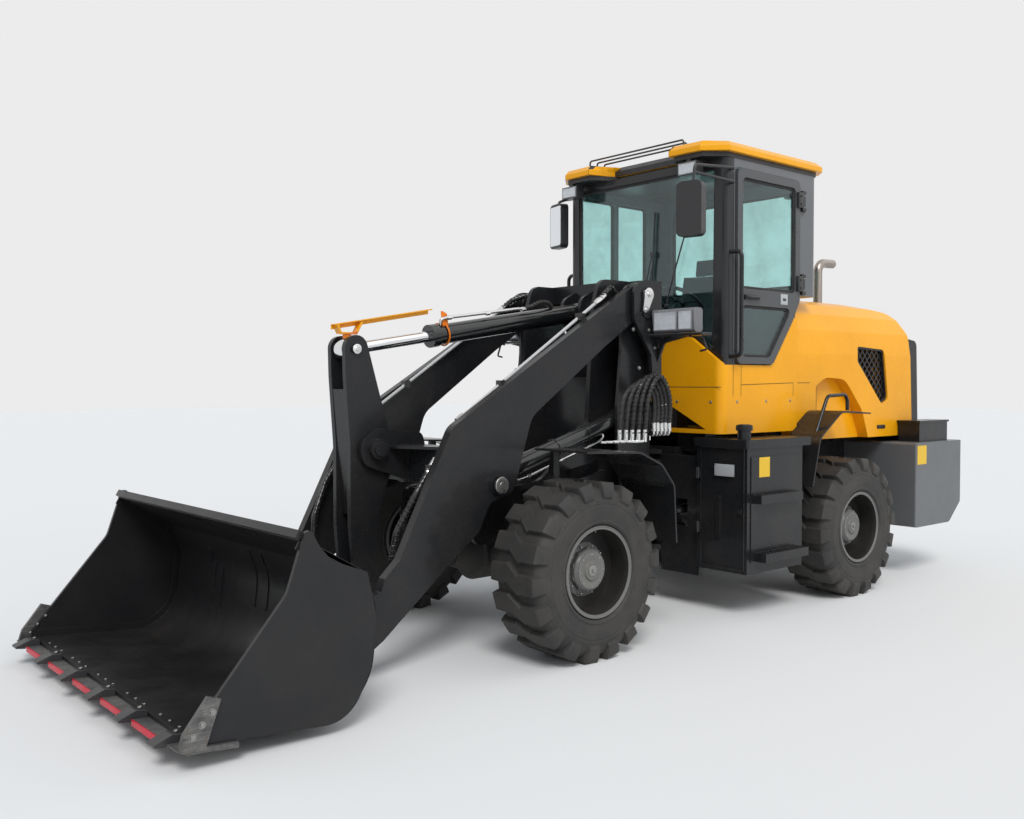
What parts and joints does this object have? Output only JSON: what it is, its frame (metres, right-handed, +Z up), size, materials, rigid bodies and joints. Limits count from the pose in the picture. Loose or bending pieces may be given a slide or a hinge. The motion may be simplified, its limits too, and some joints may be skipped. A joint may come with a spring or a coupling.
{
  "type": "wheel loader",
  "caption": "Articulated wheel loader with a toothed bucket on a Z-bar boom linkage, a glazed cab with an opening door, and a rear engine with a counterweight.",
  "frame": {"origin": "centre of the bounding box's base, on the ground", "axes": "+X points forward to the bucket's teeth, +Y to the driver's left where the door is, +Z up"},
  "size_m": [7.38, 2.408, 3.442],
  "materials": {
    "black_steel": "satin",
    "yellow_paint": "gloss",
    "grey_paint": "satin",
    "rim_grey": "satin",
    "tyre": "matt",
    "glass": "polished",
    "chrome": "polished",
    "cast_grey": "rough",
    "wear_steel": "worn",
    "hose": "matt",
    "pipe_steel": "satin",
    "black_plastic": "satin",
    "lamp": "clear",
    "fabric": "woven",
    "dark_steel": "satin"
  },
  "bodies": {
    "rear": {"rear_frame": "black_steel", "rear_axle": "cast_grey", "engine": "cast_grey", "hood": "yellow_paint", "hood_grilles": "black_steel", "radiator_guard": "black_steel", "counterweight": "grey_paint", "battery_boxes": "black_steel", "cab_base": "yellow_paint", "cab_frame": "grey_paint", "cab_glass": "glass", "cab_roof": "yellow_paint", "roof_liner": "black_plastic", "roof_rails": "dark_steel", "seat": "fabric", "dashboard": "black_plastic", "lever_box": "black_plastic", "steering_wheel": "black_plastic", "tank_boxes": "black_steel", "steps": "black_steel", "rear_fenders": "black_steel", "exhaust": "dark_steel", "mirrors": "black_plastic", "work_lights": "lamp", "grab_rails": "black_steel"},
    "door": {"door_frame": "grey_paint", "door_glass": "glass"},
    "front": {"front_frame": "black_steel", "front_axle": "cast_grey", "front_fenders": "black_steel", "headlights": "lamp", "frame_hoses": "hose"},
    "boom": {"boom_arms": "black_steel", "boom_pipes": "pipe_steel"},
    "rocker": {"rocker": "black_steel"},
    "bucket": {"bucket_shell": "black_steel", "bucket_edge": "wear_steel", "bucket_teeth": "wear_steel"},
    "bucket_link": {"bucket_link": "black_steel"},
    "lift_barrels": {"lift_barrels": "dark_steel"},
    "lift_rods": {"lift_rods": "chrome"},
    "tilt_barrel": {"tilt_barrel": "dark_steel"},
    "tilt_rod": {"tilt_rod": "chrome", "level_bar": "yellow_paint"},
    "steer_barrel_left": {"steer_barrel_left": "dark_steel"},
    "steer_barrel_right": {"steer_barrel_right": "dark_steel"},
    "steer_rod_left": {"steer_rod_left": "chrome"},
    "steer_rod_right": {"steer_rod_right": "chrome"},
    "wheel_front_left": {"tyre_front_left": "tyre", "rim_front_left": "rim_grey"},
    "wheel_front_right": {"tyre_front_right": "tyre", "rim_front_right": "rim_grey"},
    "wheel_rear_left": {"tyre_rear_left": "tyre", "rim_rear_left": "rim_grey"},
    "wheel_rear_right": {"tyre_rear_right": "tyre", "rim_rear_right": "rim_grey"}
  },
  "joints": [
    {"name": "articulation", "type": "hinge", "parent": "rear", "child": "front", "pos_m": [-0.414, 0, 0.8], "axis": [0, 0, 1], "range_deg": [-35, 35]},
    {"name": "boom_lift", "type": "hinge", "parent": "front", "child": "boom", "pos_m": [0.1, 0, 2.23], "axis": [0, -1, 0], "range_deg": [0, 66]},
    {"name": "bucket_tilt", "type": "hinge", "parent": "boom", "child": "bucket", "pos_m": [2.45, 0, 0.3], "axis": [0, 1, 0], "range_deg": [-42, 107]},
    {"name": "rocker_swing", "type": "hinge", "parent": "boom", "child": "rocker", "pos_m": [1.956, 0, 1.26], "axis": [0, 1, 0], "range_deg": [-23, 10]},
    {"name": "link_swing", "type": "hinge", "parent": "bucket", "child": "bucket_link", "pos_m": [2.575, 0, 0.54], "axis": [0, 1, 0], "range_deg": [-66, 27]},
    {"name": "lift_barrel_swing", "type": "hinge", "parent": "front", "child": "lift_barrels", "pos_m": [0.16, 0, 1.42], "axis": [0, -1, 0], "range_deg": [-1, 63]},
    {"name": "lift_rod_slide", "type": "slide", "parent": "lift_barrels", "child": "lift_rods", "axis": [0.9554, 0, -0.2952], "range_m": [-0.005, 0.879]},
    {"name": "tilt_barrel_swing", "type": "hinge", "parent": "front", "child": "tilt_barrel", "pos_m": [0.115, 0, 2.175], "axis": [0, -1, 0], "range_deg": [-1, 67]},
    {"name": "tilt_rod_slide", "type": "slide", "parent": "tilt_barrel", "child": "tilt_rod", "axis": [0.9873, 0, -0.1586], "range_m": [-0.2297, 0.0932]},
    {"name": "steer_barrel_left_swing", "type": "hinge", "parent": "rear", "child": "steer_barrel_left", "pos_m": [-1.034, 0.36, 0.705], "axis": [0, 0, 1], "range_deg": [-8, 8]},
    {"name": "steer_rod_left_slide", "type": "slide", "parent": "steer_barrel_left", "child": "steer_rod_left", "axis": [0.9987, 0.0512, 0], "range_m": [-0.24, 0.24]},
    {"name": "steer_barrel_right_swing", "type": "hinge", "parent": "rear", "child": "steer_barrel_right", "pos_m": [-1.034, -0.36, 0.705], "axis": [0, 0, 1], "range_deg": [-8, 8]},
    {"name": "steer_rod_right_slide", "type": "slide", "parent": "steer_barrel_right", "child": "steer_rod_right", "axis": [0.9987, -0.0512, 0], "range_m": [-0.24, 0.24]},
    {"name": "cab_door", "type": "hinge", "parent": "rear", "child": "door", "pos_m": [-1.484, 0.824, 2.4], "axis": [0, 0, 1], "range_deg": [0, 95]},
    {"name": "wheel_front_left_spin", "type": "hinge", "parent": "front", "child": "wheel_front_left", "pos_m": [1.03, 0.927, 0.5375], "axis": [0, 1, 0], "continuous": true},
    {"name": "wheel_front_right_spin", "type": "hinge", "parent": "front", "child": "wheel_front_right", "pos_m": [1.03, -0.927, 0.5375], "axis": [0, 1, 0], "continuous": true},
    {"name": "wheel_rear_left_spin", "type": "hinge", "parent": "rear", "child": "wheel_rear_left", "pos_m": [-1.858, 0.927, 0.5375], "axis": [0, 1, 0], "continuous": true},
    {"name": "wheel_rear_right_spin", "type": "hinge", "parent": "rear", "child": "wheel_rear_right", "pos_m": [-1.858, -0.927, 0.5375], "axis": [0, 1, 0], "continuous": true}
  ],
  "couplings": [
    {"joint": "rocker_swing", "follows": "bucket_tilt", "ratio": -0.2},
    {"joint": "link_swing", "follows": "bucket_tilt", "ratio": -0.599},
    {"joint": "tilt_rod_slide", "follows": "bucket_tilt", "m_per_rad": -0.12033},
    {"joint": "lift_barrel_swing", "follows": "boom_lift", "ratio": 0.92849},
    {"joint": "lift_rod_slide", "follows": "boom_lift", "m_per_rad": 0.75874},
    {"joint": "tilt_barrel_swing", "follows": "boom_lift", "ratio": 0.99605},
    {"joint": "steer_barrel_left_swing", "follows": "articulation", "ratio": 0.19586},
    {"joint": "steer_barrel_right_swing", "follows": "articulation", "ratio": 0.19586},
    {"joint": "steer_rod_left_slide", "follows": "articulation", "m_per_rad": -0.37922},
    {"joint": "steer_rod_right_slide", "follows": "articulation", "m_per_rad": 0.37922}
  ]
}
